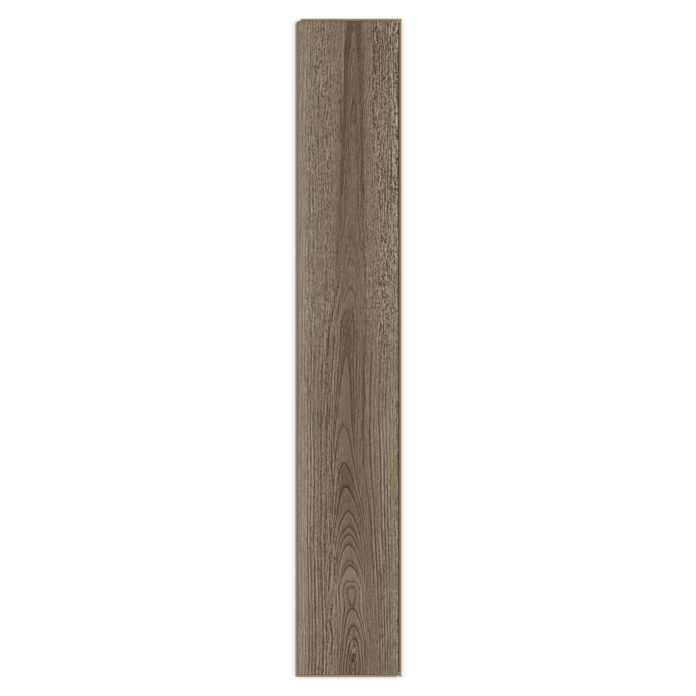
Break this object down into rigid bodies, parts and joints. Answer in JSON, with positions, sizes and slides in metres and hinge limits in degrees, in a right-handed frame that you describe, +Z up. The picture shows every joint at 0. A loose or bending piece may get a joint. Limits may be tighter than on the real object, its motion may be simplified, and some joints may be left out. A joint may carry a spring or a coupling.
{
  "type": "laminate floor plank",
  "caption": "Flat laminate floor plank with a printed wood-grain face, a bevelled edge round the face, and click tongue-and-groove joints on its sides and ends.",
  "frame": {"origin": "On the underside, below the middle of the face. The face's middle is half way between the upright joint planes of opposite edges.", "axes": "+X runs across the plank, from the tongued side to the grooved side. +Y runs along it, from the tongued end to the grooved end. +Z points up, from the underside to the face."},
  "size_m": [0.1972, 1.2268, 0.008],
  "materials": {
    "laminate": "matte"
  },
  "bodies": {
    "root": {"floor_plank": "laminate"}
  },
  "joints": []
}
